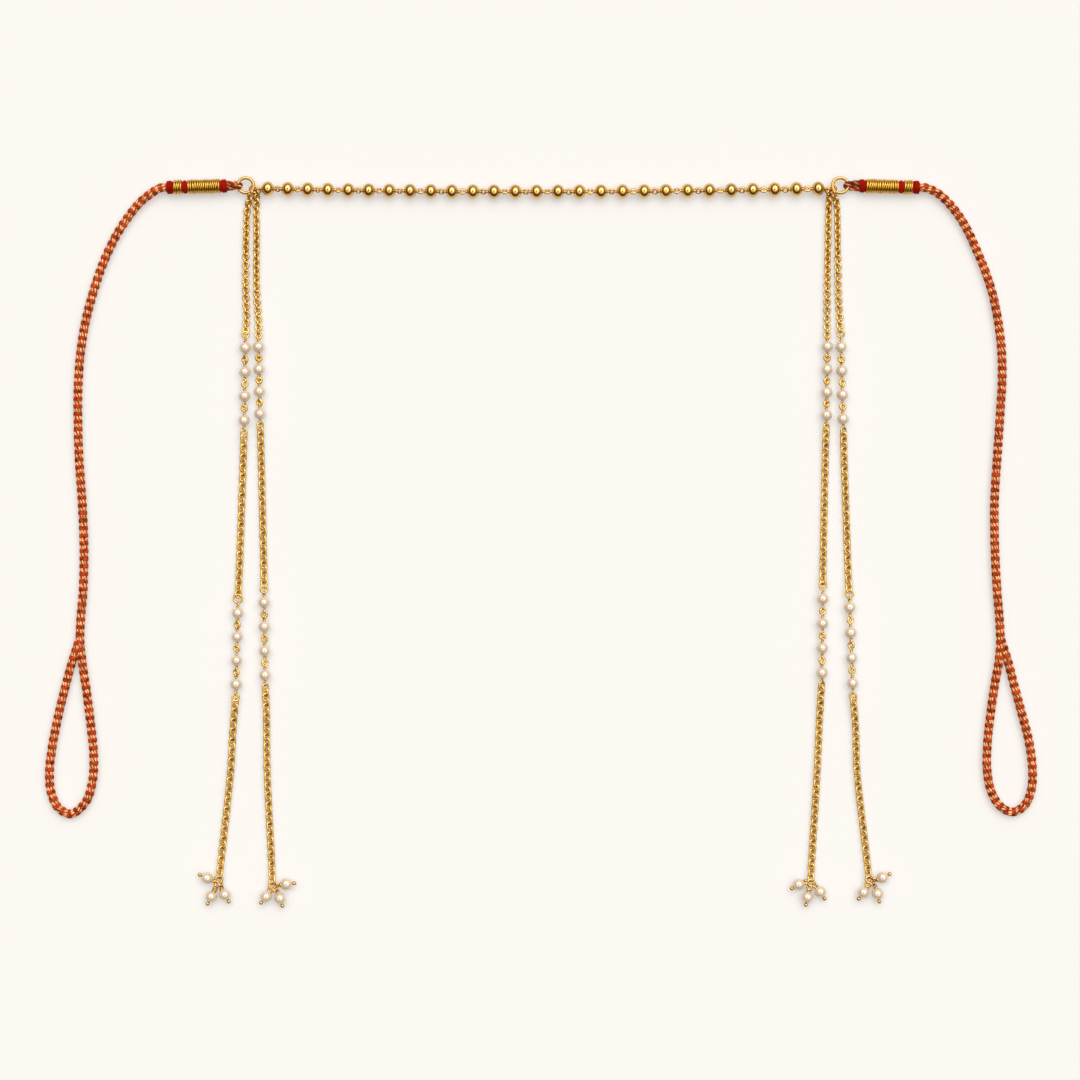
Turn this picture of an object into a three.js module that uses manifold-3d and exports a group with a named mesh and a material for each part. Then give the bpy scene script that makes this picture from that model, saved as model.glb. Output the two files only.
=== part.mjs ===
// A pearl forehead band, laid flat and open: a string of gold balls between two end rings,
// four hanging chains with pearls, and two braided tie cords bound with thread and gold wire.
// Millimetres. The surface it lies on is Z = 0, the band runs along X, and the chains run towards -Y.

import * as THREE from "three";
import { mergeVertices } from "three/addons/utils/BufferGeometryUtils.js";
import Module from "manifold-3d";

const wasm = await Module();
wasm.setup();

// Driving dimensions

const BALLS = 27;
const BALL_DIAMETER = 5.1;
const BALL_PITCH = 7.6;
const BAND_END_Y = 126.8;
const BAND_SAG = 1.1;
const BAND_SLIP = 2.3;
const BAND_SLIP_SKEW = 0.4;
const BAND_LINK = { wide: 2.5, wire: 0.5, lean: 0.45 };
const END_LINK = { outside: 3, wire: 0.5 };
const MIDDLE_LINK = { outside: 2.3, wire: 0.45 };
const MIDDLE_EYE = { outside: 2.2, wire: 0.4 };
const BITE = 0.08;

const END_RING = { x: 106.8, y: 128, z: 2.3, outside: 6.6, wire: 1.1 };
const JOINING_RING = { outside: 4, wire: 0.6, reach: 3.4, turn: -25, lean: 45, lift: 0.2 };
const HOOK_LINK = { outside: 2.8, wire: 0.6, gap: 0.15 };

const PEARL_DIAMETER = 4.3;
const PEARLS_IN_A_ROW = 4;
const PEARL_RING = { wire: 0.7, lean: 0.5, neck: 1 };
const PEARL_WIRE = 1;
const ROW_WIRE_END = 4;

const CHAIN_WIDTH = 2.4;
const CHAIN_SIDES = 8;
const CHAIN_STEPS = 3;
const CHAIN_SETTLES = 12;
const CHAIN_GAP = 0.3;

const DROP_RING = { outside: 3.3, wire: 0.6 };
const DROP_WIRE = 0.7;
const PIN_HEAD_DIAMETER = 1.3;
const PIN_HEAD_OVERLAP = 0.15;

const WHIPPING_START = 6.7;
const WHIPPING_TILT = 1.5;
const WHIPPING_CORE = 3.8;
const COLLAR_HEIGHT = 4.8;
const WINDING_HEIGHT = 5.3;
const WINDING_GAP = 0.1;
const EYE = { bend: 1.3, thick: 0.8, wide: 2, steps: 8, gap: 0.3 };

// The thread whipping's stretches from the end ring outwards. Gold wire is wound over the named ones.
const WHIPPING = [
  { length: 2.4 },
  { length: 11.9, winding: "wire_winding_long" },
  { length: 1.6 },
  { length: 3.6, winding: "wire_winding_short" },
  { length: 2.2 },
];

const CORD_DIAMETER = 3.4;
const CORD_SIDES = 8;
const CORD_STEPS = 38;
const CORD_GAP = 0.3;
const CORD_STRAIGHT = 1.5;
const CORD_SETTLES = 16;

// The two tie cords' routes from their whippings, down and round the tie loop, back to the cord's side
const CORD_ROUTES = {
  left: [
    [-139.4, 126.1], [-145.2, 121.5], [-152.2, 112.1], [-157.6, 101.3], [-161.4, 90.5], [-164.3, 79.7],
    [-166.1, 68.9], [-167, 58.1], [-167.2, 47.3], [-166.8, 31.1], [-165.7, 14.9], [-165, -1.3],
    [-165.3, -17.5], [-166.2, -28.3], [-166.4, -35.5], [-165.7, -42.7], [-164.1, -53.5], [-162.5, -66.1],
    [-161.5, -76.9], [-161.9, -85.9], [-164.3, -93.4], [-169.6, -97.8], [-174.2, -95.6], [-176.8, -90],
    [-177.4, -82.8], [-176.5, -74.3], [-173.8, -60.7], [-171.1, -49.9], [-169.5, -43.9],
  ],
  right: [
    [139.4, 126.5], [143.2, 124.2], [150.2, 116.1], [157.4, 101.2], [161.2, 90.5], [163.5, 79.7],
    [164.8, 68.9], [165, 58.1], [164.4, 47.3], [163.3, 31.1], [162.3, 14.9], [162.4, -1.3],
    [163.2, -17.5], [164.1, -28.3], [164.4, -35.5], [163.9, -42.7], [162.6, -49.9], [161, -60.7],
    [159.8, -71.5], [159.6, -81.5], [160.9, -89.1], [164.2, -94.9], [168.8, -97.1], [173.2, -94.6],
    [175.6, -88.6], [175.9, -81.5], [174.6, -71.5], [171.8, -60.7], [168.9, -49.9], [167.6, -44.7],
  ],
};

// The four strands. hook is where the first link sits round the joining ring, in degrees, and top is
// the point that it is drawn towards. Each row of pearls has the centres of its first and last pearl, and
// the size of the ring above it where there is one. The upper and lower chains pass through their via
// points. end is the centre of the last ring, and each drop is a pearl's centre and its pin's direction,
// in degrees.
const STRANDS = [
  {
    name: "left_outer", side: -1, hook: 90, top: [-107.4, 122.2],
    upperVia: [-106.9, 90.6], lowerVia: [-112.3, -82.2],
    upper: { first: [-107, 69.7], last: [-107.4, 43.6], ring: 3.1 },
    lower: { first: [-109.7, -25.6], last: [-110.3, -51.2], ring: 3.9 },
    end: [-116.4, -121.3],
    drops: [
      { pearl: [-120.7, -120.8], pin: 156 },
      { pearl: [-119.2, -127.5], pin: 243 },
      { pearl: [-114.3, -126.8], pin: 300 },
    ],
  },
  {
    name: "left_inner", side: -1, hook: 30, top: [-102.9, 121],
    upperVia: [-103, 90.6], lowerVia: [-99.2, -82.2],
    upper: { first: [-102.2, 70], last: [-101.7, 46], ring: 0 },
    lower: { first: [-100.2, -21.8], last: [-99.9, -47.9], ring: 3.3 },
    end: [-97.3, -123.4],
    drops: [
      { pearl: [-92.2, -123], pin: 7 },
      { pearl: [-99.5, -127.5], pin: 231 },
      { pearl: [-94.5, -128.1], pin: 288 },
    ],
  },
  {
    name: "right_inner", side: 1, hook: 30, top: [102.9, 121],
    upperVia: [102.3, 90.6], lowerVia: [98.6, -82.2],
    upper: { first: [102.1, 70.1], last: [101.8, 45.5], ring: 0 },
    lower: { first: [100.5, -20.5], last: [100.2, -47.1], ring: 3.3 },
    end: [96.2, -122.4],
    drops: [
      { pearl: [91.8, -123.1], pin: 210 },
      { pearl: [95, -127.7], pin: 258 },
      { pearl: [99.6, -125.8], pin: 302 },
    ],
  },
  {
    name: "right_outer", side: 1, hook: 90, top: [107.4, 122.2],
    upperVia: [106.4, 90.6], lowerVia: [112.9, -82.2],
    upper: { first: [107.1, 70], last: [107.8, 44.2], ring: 3.2 },
    lower: { first: [110.2, -23.6], last: [111.2, -50.8], ring: 3.5 },
    end: [117.1, -121.3],
    drops: [
      { pearl: [122, -120.6], pin: 26 },
      { pearl: [115.1, -126], pin: 233 },
      { pearl: [120.2, -126.5], pin: 283 },
    ],
  },
];

// Materials

const MATERIALS = {
  gold: new THREE.MeshStandardMaterial({ color: 0xc8962e, roughness: 0.25, metalness: 1 }),
  pearl: new THREE.MeshStandardMaterial({ color: 0xe9dccb, roughness: 0.25, metalness: 0 }),
  thread: new THREE.MeshStandardMaterial({ color: 0x9c1710, roughness: 0.75, metalness: 0 }),
  woundWire: new THREE.MeshStandardMaterial({ color: 0xb98f33, roughness: 0.4, metalness: 1 }),
  braid: new THREE.MeshStandardMaterial({ color: 0xb4552c, roughness: 0.8, metalness: 0 }),
};

// Solids

const UP = new THREE.Vector3(0, 0, 1);
const ALONG_Y = new THREE.Vector3(0, 1, 0);
const FACETS = 10;
const WIRE_SIDES = 5;
const SQUARE_SIDES = 4;
// A polygon's flats lie inside its circle by this factor
const TO_FLAT = Math.cos(Math.PI / FACETS);

function toManifold(geometry) {
  const bare = geometry.index ? geometry.toNonIndexed() : geometry.clone();
  bare.deleteAttribute("normal");
  bare.deleteAttribute("uv");
  const merged = mergeVertices(bare, 1e-4);
  return new wasm.Manifold(new wasm.Mesh({
    numProp: 3,
    vertProperties: merged.attributes.position.array,
    triVerts: new Uint32Array(merged.index.array),
  }));
}

// One closed body from several geometries that run into each other
function fuse(geometries) {
  const mesh = geometries
    .map(toManifold)
    .reduce((whole, solid) => whole.add(solid))
    .getMesh();
  const geometry = new THREE.BufferGeometry();
  geometry.setAttribute("position", new THREE.BufferAttribute(mesh.vertProperties, 3));
  geometry.setIndex(new THREE.BufferAttribute(mesh.triVerts, 1));
  return geometry;
}

function piece(name, geometry, material) {
  const mesh = new THREE.Mesh(geometry, MATERIALS[material]);
  mesh.name = name;
  return mesh;
}

// Turns a geometry's X, Y and Z to a direction, the one across it and the given normal, and moves it
function place(geometry, centre, along, normal) {
  const forward = along.clone().normalize();
  const up = normal.clone().addScaledVector(forward, -normal.dot(forward)).normalize();
  const across = up.clone().cross(forward);
  return geometry.applyMatrix4(new THREE.Matrix4().makeBasis(forward, across, up).setPosition(centre));
}

// A ring of round wire. Its hole faces along the normal, and it has a flat facing forwards and one back.
function ring({ outside, wire }, centre, along, normal, stretch = 1) {
  const geometry = new THREE.TorusGeometry((outside - wire) / 2, wire / 2, WIRE_SIDES, FACETS)
    .rotateZ(Math.PI / FACETS)
    .scale(stretch, 1, 1);
  return place(geometry, centre, along, normal);
}

// A round bead with a flat facing forwards and one back, where a wire or a link meets it
function bead(diameter, centre, along, bands = 5) {
  const geometry = new THREE.SphereGeometry(diameter / 2 / Math.cos(Math.PI / 2 / bands), FACETS, bands)
    .rotateY(Math.PI / FACETS);
  return place(geometry, centre, along, UP);
}

// A straight square wire between two points
function wire(diameter, start, end) {
  const along = end.clone().sub(start);
  const turn = new THREE.Quaternion().setFromUnitVectors(ALONG_Y, along.clone().normalize());
  const middle = start.clone().lerp(end, 0.5);
  return new THREE.CylinderGeometry(diameter / 2, diameter / 2, along.length(), SQUARE_SIDES)
    .applyQuaternion(turn)
    .translate(middle.x, middle.y, middle.z);
}

// A closed tube of round section along a curve
function tube(diameter, sides, steps, curve) {
  const section = new THREE.Shape(
    Array.from({ length: sides }, (_, i) => {
      const angle = (2 * Math.PI * i) / sides;
      return new THREE.Vector2(Math.cos(angle), Math.sin(angle)).multiplyScalar(diameter / 2);
    }),
  );
  return new THREE.ExtrudeGeometry(section, { steps, extrudePath: curve, bevelEnabled: false });
}

// The same direction at both ends of the band, mirrored across its middle
function mirrored(side, x, y, z) {
  return new THREE.Vector3(side * x, y, z);
}

// The band

const BAND_HALF = ((BALLS - 1) / 2) * BALL_PITCH;

// The string sags a little and has slipped to the left, so its links are pulled out most on the right
function ballCentre(i) {
  const even = i * BALL_PITCH - BAND_HALF;
  const t = even / BAND_HALF;
  const slip = BAND_SLIP * (1 - t * t) * (1 - BAND_SLIP_SKEW * t);
  return new THREE.Vector3(even - slip, BAND_END_Y - BAND_SAG * (1 - t * t), BALL_DIAMETER / 2);
}

function bandLink(i) {
  const start = ballCentre(i);
  const end = ballCentre(i + 1);
  const lean = i % 2 ? BAND_LINK.lean : -BAND_LINK.lean;
  const normal = new THREE.Vector3(0, Math.sin(lean), Math.cos(lean));
  const along = end.clone().sub(start);
  const long = (along.length() + 2 * BITE) / TO_FLAT - BALL_DIAMETER;
  const size = { outside: BAND_LINK.wide, wire: BAND_LINK.wire };
  return ring(size, start.lerp(end, 0.5), along, normal, long / BAND_LINK.wide);
}

// Where a ring that bites a little into a ball's flat has its centre
function besideBall(ball, direction, outside) {
  return ball.clone().addScaledVector(direction, ((BALL_DIAMETER + outside) / 2) * TO_FLAT - BITE);
}

// The end link goes round the joining ring's wire
function endLink(side) {
  const joint = joiningRing(side);
  const nearest = joint.pointAt(joint.outermost);
  const ball = ballCentre(side < 0 ? 0 : BALLS - 1);
  const towards = nearest.sub(ball).normalize();
  const centre = besideBall(ball, towards, END_LINK.outside);
  return ring(END_LINK, centre, towards, joint.tangentAt(joint.outermost));
}

const MIDDLE = Math.floor(BALLS / 2);

function halfBand(first, last) {
  const along = new THREE.Vector3(1, 0, 0);
  const parts = [];
  for (let i = first; i <= last; i += 1) {
    parts.push(bead(BALL_DIAMETER, ballCentre(i), along));
    if (i < last) parts.push(bandLink(i));
  }
  return parts;
}

// The two halves meet where an eye on the right half runs through a ring on the left half
function band() {
  const right = new THREE.Vector3(1, 0, 0);
  const left = right.clone().negate();
  const linkCentre = besideBall(ballCentre(MIDDLE), right, MIDDLE_LINK.outside);
  const eyeCentre = besideBall(ballCentre(MIDDLE + 1), left, MIDDLE_EYE.outside);
  const link = ring(MIDDLE_LINK, linkCentre, right, UP);
  const eye = ring(MIDDLE_EYE, eyeCentre, left, ALONG_Y);
  return [
    piece("band_left", fuse([endLink(-1), ...halfBand(0, MIDDLE), link]), "gold"),
    piece("band_right", fuse([eye, ...halfBand(MIDDLE + 1, BALLS - 1), endLink(1)]), "gold"),
  ];
}

// The joint at each end: end ring, joining ring and the first links of two chains

function endRingCentre(side) {
  return mirrored(side, END_RING.x, END_RING.y, END_RING.z);
}

// The joining ring runs round the end ring's wire, on the side towards the chains
function joiningRing(side) {
  const turn = THREE.MathUtils.degToRad(JOINING_RING.turn);
  const lean = THREE.MathUtils.degToRad(JOINING_RING.lean);
  const outwards = mirrored(side, -Math.cos(turn), Math.sin(turn), 0);
  const sideways = mirrored(side, Math.sin(turn), Math.cos(turn), 0);
  const raised = sideways.clone().multiplyScalar(-Math.sin(lean)).addScaledVector(UP, Math.cos(lean));
  const centre = endRingCentre(side).addScaledVector(outwards, JOINING_RING.reach);
  centre.z += JOINING_RING.lift;
  const radius = (JOINING_RING.outside - JOINING_RING.wire) / 2;
  return {
    centre,
    outwards,
    normal: outwards.clone().cross(raised),
    outermost: Math.atan2(raised.x, outwards.x) + (side < 0 ? 0 : Math.PI),
    pointAt: (angle) => centre.clone()
      .addScaledVector(outwards, radius * Math.cos(angle))
      .addScaledVector(raised, radius * Math.sin(angle)),
    tangentAt: (angle) => outwards.clone().multiplyScalar(-Math.sin(angle))
      .addScaledVector(raised, Math.cos(angle)),
  };
}

// A chain's first link, hung on the joining ring and pointing at the chain
function hookLink(strand) {
  const joint = joiningRing(strand.side);
  const angle = THREE.MathUtils.degToRad(strand.hook);
  const held = joint.pointAt(angle);
  const towards = chainPoint(strand.top).sub(held).normalize();
  const inside = HOOK_LINK.outside / 2 - HOOK_LINK.wire;
  const centre = held.addScaledVector(towards, inside - JOINING_RING.wire / 2 - HOOK_LINK.gap);
  return {
    solid: ring(HOOK_LINK, centre, towards, joint.tangentAt(angle)),
    end: centre.clone().addScaledVector(towards, HOOK_LINK.outside / 2 + CHAIN_GAP),
  };
}

function joints() {
  return [["left", -1], ["right", 1]].flatMap(([name, side]) => {
    const joint = joiningRing(side);
    return [
      piece(`end_ring_${name}`, ring(END_RING, endRingCentre(side), ALONG_Y, UP), "gold"),
      piece(`joining_ring_${name}`, ring(JOINING_RING, joint.centre, joint.outwards, joint.normal), "gold"),
    ];
  });
}

// The strands

function chainPoint([x, y]) {
  return new THREE.Vector3(x, y, CHAIN_WIDTH / 2);
}

function pearlPoint([x, y]) {
  return new THREE.Vector3(x, y, PEARL_DIAMETER / 2);
}

// A stretch of chain as a tube of its links' outer size. It comes down from its start onto the surface.
function chain(name, start, end, via = []) {
  const settled = start.clone().lerp(end, CHAIN_SETTLES / start.distanceTo(end));
  settled.z = CHAIN_WIDTH / 2;
  const curve = new THREE.CatmullRomCurve3([start, settled, ...via.map(chainPoint), end]);
  return piece(name, tube(CHAIN_WIDTH, CHAIN_SIDES, CHAIN_STEPS, curve), "gold");
}

// Four pearls on their wire, most of them under a ring
function pearlRow(name, row) {
  const first = pearlPoint(row.first);
  const last = pearlPoint(row.last);
  const upwards = first.clone().sub(last).normalize();
  const above = (distance) => first.clone().addScaledVector(upwards, distance);
  const below = (distance) => last.clone().addScaledVector(upwards, -distance);
  const parts = Array.from({ length: PEARLS_IN_A_ROW }, (_, i) =>
    bead(PEARL_DIAMETER, last.clone().lerp(first, i / (PEARLS_IN_A_ROW - 1)), upwards));
  let wireTop = ROW_WIRE_END;
  let top = ROW_WIRE_END;
  if (row.ring) {
    const radius = row.ring / 2;
    const reach = PEARL_DIAMETER / 2 + PEARL_RING.neck + radius;
    const lean = new THREE.Vector3(Math.sin(PEARL_RING.lean), 0, Math.cos(PEARL_RING.lean));
    parts.push(ring({ outside: row.ring, wire: PEARL_RING.wire }, above(reach), upwards, lean));
    wireTop = reach - radius + PEARL_RING.wire / 2;
    top = reach + radius;
  }
  parts.push(wire(PEARL_WIRE, above(wireTop), below(ROW_WIRE_END)));
  return {
    piece: piece(name, fuse(parts), "pearl"),
    before: above(top + CHAIN_GAP),
    after: below(ROW_WIRE_END + CHAIN_GAP),
  };
}

// Three pearls on headed pins, drawn together at the strand's last ring
function dropPearls(strand) {
  const centre = pearlPoint(strand.end);
  const ringRadius = (DROP_RING.outside - DROP_RING.wire) / 2;
  const parts = [ring(DROP_RING, centre, ALONG_Y, UP)];
  strand.drops.forEach(({ pearl, pin }) => {
    const middle = pearlPoint(pearl);
    const towards = centre.clone().sub(middle).normalize();
    const angle = THREE.MathUtils.degToRad(pin);
    const headwards = new THREE.Vector3(Math.cos(angle), Math.sin(angle), 0);
    const reach = (PEARL_DIAMETER + PIN_HEAD_DIAMETER) / 2 - PIN_HEAD_OVERLAP;
    parts.push(
      wire(DROP_WIRE, middle, centre.clone().addScaledVector(towards, -ringRadius)),
      bead(PEARL_DIAMETER, middle, towards),
      bead(PIN_HEAD_DIAMETER, middle.clone().addScaledVector(headwards, reach), headwards, 3),
    );
  });
  return {
    piece: piece(`${strand.name}_drop_pearls`, fuse(parts), "pearl"),
    before: centre.clone().addScaledVector(ALONG_Y, DROP_RING.outside / 2 + CHAIN_GAP),
  };
}

function strandPieces(strand) {
  const hook = hookLink(strand);
  const upper = pearlRow(`${strand.name}_pearls_upper`, strand.upper);
  const lower = pearlRow(`${strand.name}_pearls_lower`, strand.lower);
  const drops = dropPearls(strand);
  return [
    piece(`${strand.name}_hook_link`, hook.solid, "gold"),
    chain(`${strand.name}_chain_upper`, hook.end, upper.before, [strand.upperVia]),
    upper.piece,
    chain(`${strand.name}_chain_middle`, upper.after, lower.before),
    lower.piece,
    chain(`${strand.name}_chain_lower`, lower.after, drops.before, [strand.lowerVia]),
    drops.piece,
  ];
}

// The tie cords, their eyes and their whippings

const WHIPPING_END = WHIPPING.reduce((end, stretch) => end + stretch.length, WHIPPING_START);

// A body turned about X, from points of height and place along it. One of its flats faces down.
function turned(points) {
  const profile = points.map(([height, along]) => new THREE.Vector2(height / 2 / TO_FLAT, along));
  return new THREE.LatheGeometry(profile, FACETS).rotateY(Math.PI / FACETS).rotateZ(-Math.PI / 2);
}

// The thread whipping is thinner where gold wire is wound over it
function whipping() {
  let start = WHIPPING_START;
  const points = [[0, start]];
  WHIPPING.forEach(({ length, winding }) => {
    const height = winding ? WHIPPING_CORE : COLLAR_HEIGHT;
    points.push([height, start], [height, start + length]);
    start += length;
  });
  points.push([0, start]);
  return turned(points);
}

function winding(start, length) {
  const inside = WHIPPING_CORE + 2 * WINDING_GAP;
  const from = start + WINDING_GAP;
  const to = start + length - WINDING_GAP;
  return turned([
    [inside, from],
    [WINDING_HEIGHT, from],
    [WINDING_HEIGHT, to],
    [inside, to],
    [inside, from],
  ]);
}

// The cord's eye folds round the end ring, one leg over and one leg under its wire
function eye() {
  const ringRadius = (END_RING.outside - END_RING.wire) / 2;
  const legEnd = WHIPPING_START - EYE.gap;
  const fold = ringRadius - EYE.bend * 4 / 3;
  const corner = (x, z) => new THREE.Vector3(x, 0, z);
  const path = new THREE.CurvePath();
  path.add(new THREE.LineCurve3(corner(legEnd, EYE.bend), corner(ringRadius, EYE.bend)));
  path.add(new THREE.CubicBezierCurve3(
    corner(ringRadius, EYE.bend),
    corner(fold, EYE.bend),
    corner(fold, -EYE.bend),
    corner(ringRadius, -EYE.bend),
  ));
  path.add(new THREE.LineCurve3(corner(ringRadius, -EYE.bend), corner(legEnd, -EYE.bend)));
  return tube(EYE.thick, CORD_SIDES, EYE.steps, path).scale(1, EYE.wide / EYE.thick, 1);
}

// Each eye and whipping share a group with its origin in the end ring and +X outwards
function boundEnd(name, side) {
  const group = new THREE.Group();
  group.position.copy(endRingCentre(side)).setZ(WINDING_HEIGHT / 2);
  group.rotation.z = (side < 0 ? Math.PI : 0) - side * THREE.MathUtils.degToRad(WHIPPING_TILT);
  group.add(piece(`cord_eye_${name}`, eye(), "braid"));
  group.add(piece(`thread_whipping_${name}`, whipping(), "thread"));
  let start = WHIPPING_START;
  WHIPPING.forEach((stretch) => {
    if (stretch.winding) {
      group.add(piece(`${stretch.winding}_${name}`, winding(start, stretch.length), "woundWire"));
    }
    start += stretch.length;
  });
  return group;
}

// A tie cord leaves its whipping level, settles onto the surface, and ends in a loop
function tieCord(name, side) {
  const tilt = THREE.MathUtils.degToRad(WHIPPING_TILT);
  const leaving = mirrored(side, Math.cos(tilt), -Math.sin(tilt), 0);
  const exit = endRingCentre(side)
    .setZ(WINDING_HEIGHT / 2)
    .addScaledVector(leaving, WHIPPING_END + CORD_GAP);
  const points = [exit, exit.clone().addScaledVector(leaving, CORD_STRAIGHT)];
  CORD_ROUTES[name].forEach(([x, y]) => {
    const settled = Math.min(1, exit.distanceTo(new THREE.Vector3(x, y, exit.z)) / CORD_SETTLES);
    points.push(new THREE.Vector3(x, y, THREE.MathUtils.lerp(exit.z, CORD_DIAMETER / 2, settled)));
  });
  const curve = new THREE.CatmullRomCurve3(points);
  return piece(`tie_cord_${name}`, tube(CORD_DIAMETER, CORD_SIDES, CORD_STEPS, curve), "braid");
}

const foreheadBand = new THREE.Group();
foreheadBand.add(...band(), ...joints());
STRANDS.forEach((strand) => foreheadBand.add(...strandPieces(strand)));
foreheadBand.add(boundEnd("left", -1), boundEnd("right", 1));
foreheadBand.add(tieCord("left", -1), tieCord("right", 1));

export default foreheadBand;
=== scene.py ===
"""A pearl forehead band, laid flat: gold balls between two end rings, four chains with pearls, two tie cords.

Lengths are in metres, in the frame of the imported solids, and in millimetres in the tables.
"""

import math
from collections import namedtuple

import bpy
import numpy as np
from bpy.props import FloatProperty, FloatVectorProperty, PointerProperty
from mathutils import Matrix, Vector


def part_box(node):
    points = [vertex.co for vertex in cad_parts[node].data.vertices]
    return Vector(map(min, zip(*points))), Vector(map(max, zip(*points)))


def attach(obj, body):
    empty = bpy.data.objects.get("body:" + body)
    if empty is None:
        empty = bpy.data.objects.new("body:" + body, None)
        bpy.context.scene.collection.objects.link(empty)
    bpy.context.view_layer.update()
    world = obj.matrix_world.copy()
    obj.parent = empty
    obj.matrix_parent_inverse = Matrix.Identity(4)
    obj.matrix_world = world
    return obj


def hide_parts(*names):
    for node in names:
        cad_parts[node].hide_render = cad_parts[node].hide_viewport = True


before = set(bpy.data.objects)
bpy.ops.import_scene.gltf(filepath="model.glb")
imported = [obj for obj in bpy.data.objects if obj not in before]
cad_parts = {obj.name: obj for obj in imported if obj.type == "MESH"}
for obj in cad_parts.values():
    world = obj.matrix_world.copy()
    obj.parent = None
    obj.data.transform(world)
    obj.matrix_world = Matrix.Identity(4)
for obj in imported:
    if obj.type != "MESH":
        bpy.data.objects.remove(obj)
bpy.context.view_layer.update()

bl_info = {
    "name": "Pearl forehead band",
    "version": (1, 0, 0),
    "blender": (4, 5, 0),
    "location": "View3D > Sidebar > Forehead band",
    "description": "Builds a pearl forehead band with gold chains and braided tie cords",
    "category": "Add Mesh",
}

MM = 0.001
UP = Vector((0, 0, 1))
ALONG_X = Vector((1, 0, 0))
ALONG_Y = Vector((0, 1, 0))
SIDES = (("left", -1), ("right", 1))


def height(node):
    low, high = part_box(node)
    return high[2] - low[2]


# Sizes and colours that a user would change


def length_setting(name, description, *sizes):
    """A length from its default, least and most in millimetres."""
    default, least, most = (size * MM for size in sizes)
    return FloatProperty(
        name=name, description=description, default=default, min=least, max=most, unit="LENGTH"
    )


class BandSizes(bpy.types.PropertyGroup):
    ball: length_setting("Gold ball", "Diameter of a gold ball", height("band_left") / MM * 1.04, 2, 10)
    pearl: length_setting("Pearl", "Diameter of a pearl", 4.3, 2, 8)
    chain_link: length_setting("Chain link", "Width of a chain link", 2.9, 1, 6)
    chain_wire: length_setting("Chain wire", "Thickness of a link's wire", 0.85, 0.2, 2)
    cord: length_setting("Tie cord", "Diameter of the tie cords", 3.4, 2, 6)
    braid_lay: length_setting("Braid lay", "Length of one turn of a strand", 21.9, 5, 50)


def colour_setting(name, description, default):
    return FloatVectorProperty(
        name=name, description=description, default=default, size=3, min=0, max=1, subtype="COLOR"
    )


class BandColours(bpy.types.PropertyGroup):
    gold: colour_setting("Gold", "Polished gold of the balls and rings", (0.70, 0.39, 0.032))
    chain_gold: colour_setting("Chain gold", "Paler gold of the chains", (0.79, 0.49, 0.08))
    old_gold: colour_setting("Old gold", "Duller gold in the hollows", (0.48, 0.25, 0.014))
    wound_gold: colour_setting("Wound wire", "Wire wound over the bound cords", (0.72, 0.41, 0.035))
    pearl: colour_setting("Pearl", "Pearl where it faces the eye", (0.66, 0.52, 0.36))
    # Pearl rim colour: partly the nacre's own pinker tint, partly painted shade
    pearl_edge: colour_setting("Pearl edge", "Pearl where it turns away", (0.44, 0.32, 0.18))
    thread: colour_setting("Whipping thread", "Red thread of the whippings", (0.48, 0.009, 0.001))
    rust: colour_setting("Rust strands", "Rust red strands of the tie cords", (0.56, 0.06, 0.004))
    cream: colour_setting("Cream strands", "Cream strands of the tie cords", (1.0, 0.62, 0.25))
    ground: colour_setting("Ground", "The pale ground", (0.925, 0.91, 0.88))


# The band's layout, in millimetres

Ring = namedtuple("Ring", "outside wire")

BALLS = 27
BALL_PITCH = 7.6
BAND_END_Y = 126.8
BAND_SAG = 1.1
BAND_SLIP = 2.3
BAND_SLIP_SKEW = 0.4
# How long a ball is along the string, for its width
BALL_LENGTH = 0.88
BALL_COLLAR = 0.12
BALL_HOLE = 1.5
BALL_EYE = Ring(1.7, 0.7)
BALL_EYE_OUT = 0.3
BAND_LINK = Ring(2.6, 0.98)
BAND_LINK_WIDTH = 2.75
BAND_LINK_LEAN = 0.6
BAND_END_LINK = Ring(3.0, 0.8)
BAND_END_LINK_IN = 0.2

END_RING = Ring(6.6, 1.28)
END_RING_PLACE = (106.8, 128.0, 2.3)
JOINING_RING = Ring(4.0, 0.8)
JOINING_REACH = 3.4
JOINING_LIFT = 0.2
JOINING_TURN = -25
JOINING_LEAN = 45
HOOK_LINK = Ring(3.0, 0.75)
HOOK_GAP = 0.05

CHAIN_Z = 1.2
CHAIN_SETTLES = 12
CHAIN_LEAN = 27
CHAIN_STRAIGHT = 0.57
SLACK_LEAN = 38
SLACK_STRAIGHT = 0.2
SLACK_PITCH = 1.5
TURNED_OVER = math.radians(42)
# How far down a slack chain begins to lie flat, by the angle of its hook
FLAT_FROM = {90: 0.3, 30: 0.55}

PEARLS_IN_A_ROW = 4
PEARL_HOLE = 0.9
ROW_EYE = Ring(1.85, 0.8)
ROW_EYE_OUT = 1.05
ROW_NECK = {"radius": 0.74, "wire": 0.38, "length": 0.85}
ROW_RING_WIRE = 0.8
ROW_RING_NECK = 1.0
BARE_ROW_NECK = 0.5
SMALL_RING = Ring(2.85, 1.0)
# How far wire goes into a pearl
TUCKED = 0.12
DROP_HOLE = 0.8
DROP_RING = Ring(3.3, 1.0)
DROP_EYE = Ring(2.5, 0.98)
DROP_EYE_OUT = 0.72
DROP_EYE_LEANS = (0.9, 0.25, -0.8)
DROP_NECK = {"radius": 1.0, "wire": 0.5}
DROP_NECK_OUT = 0.85
PIN_HEAD = 1.6
PIN_HOLE = 0.5

# A row's first and last pearl, and the size of the ring above it and below it, or 0
Row = namedtuple("Row", "first last ring foot")

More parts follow.
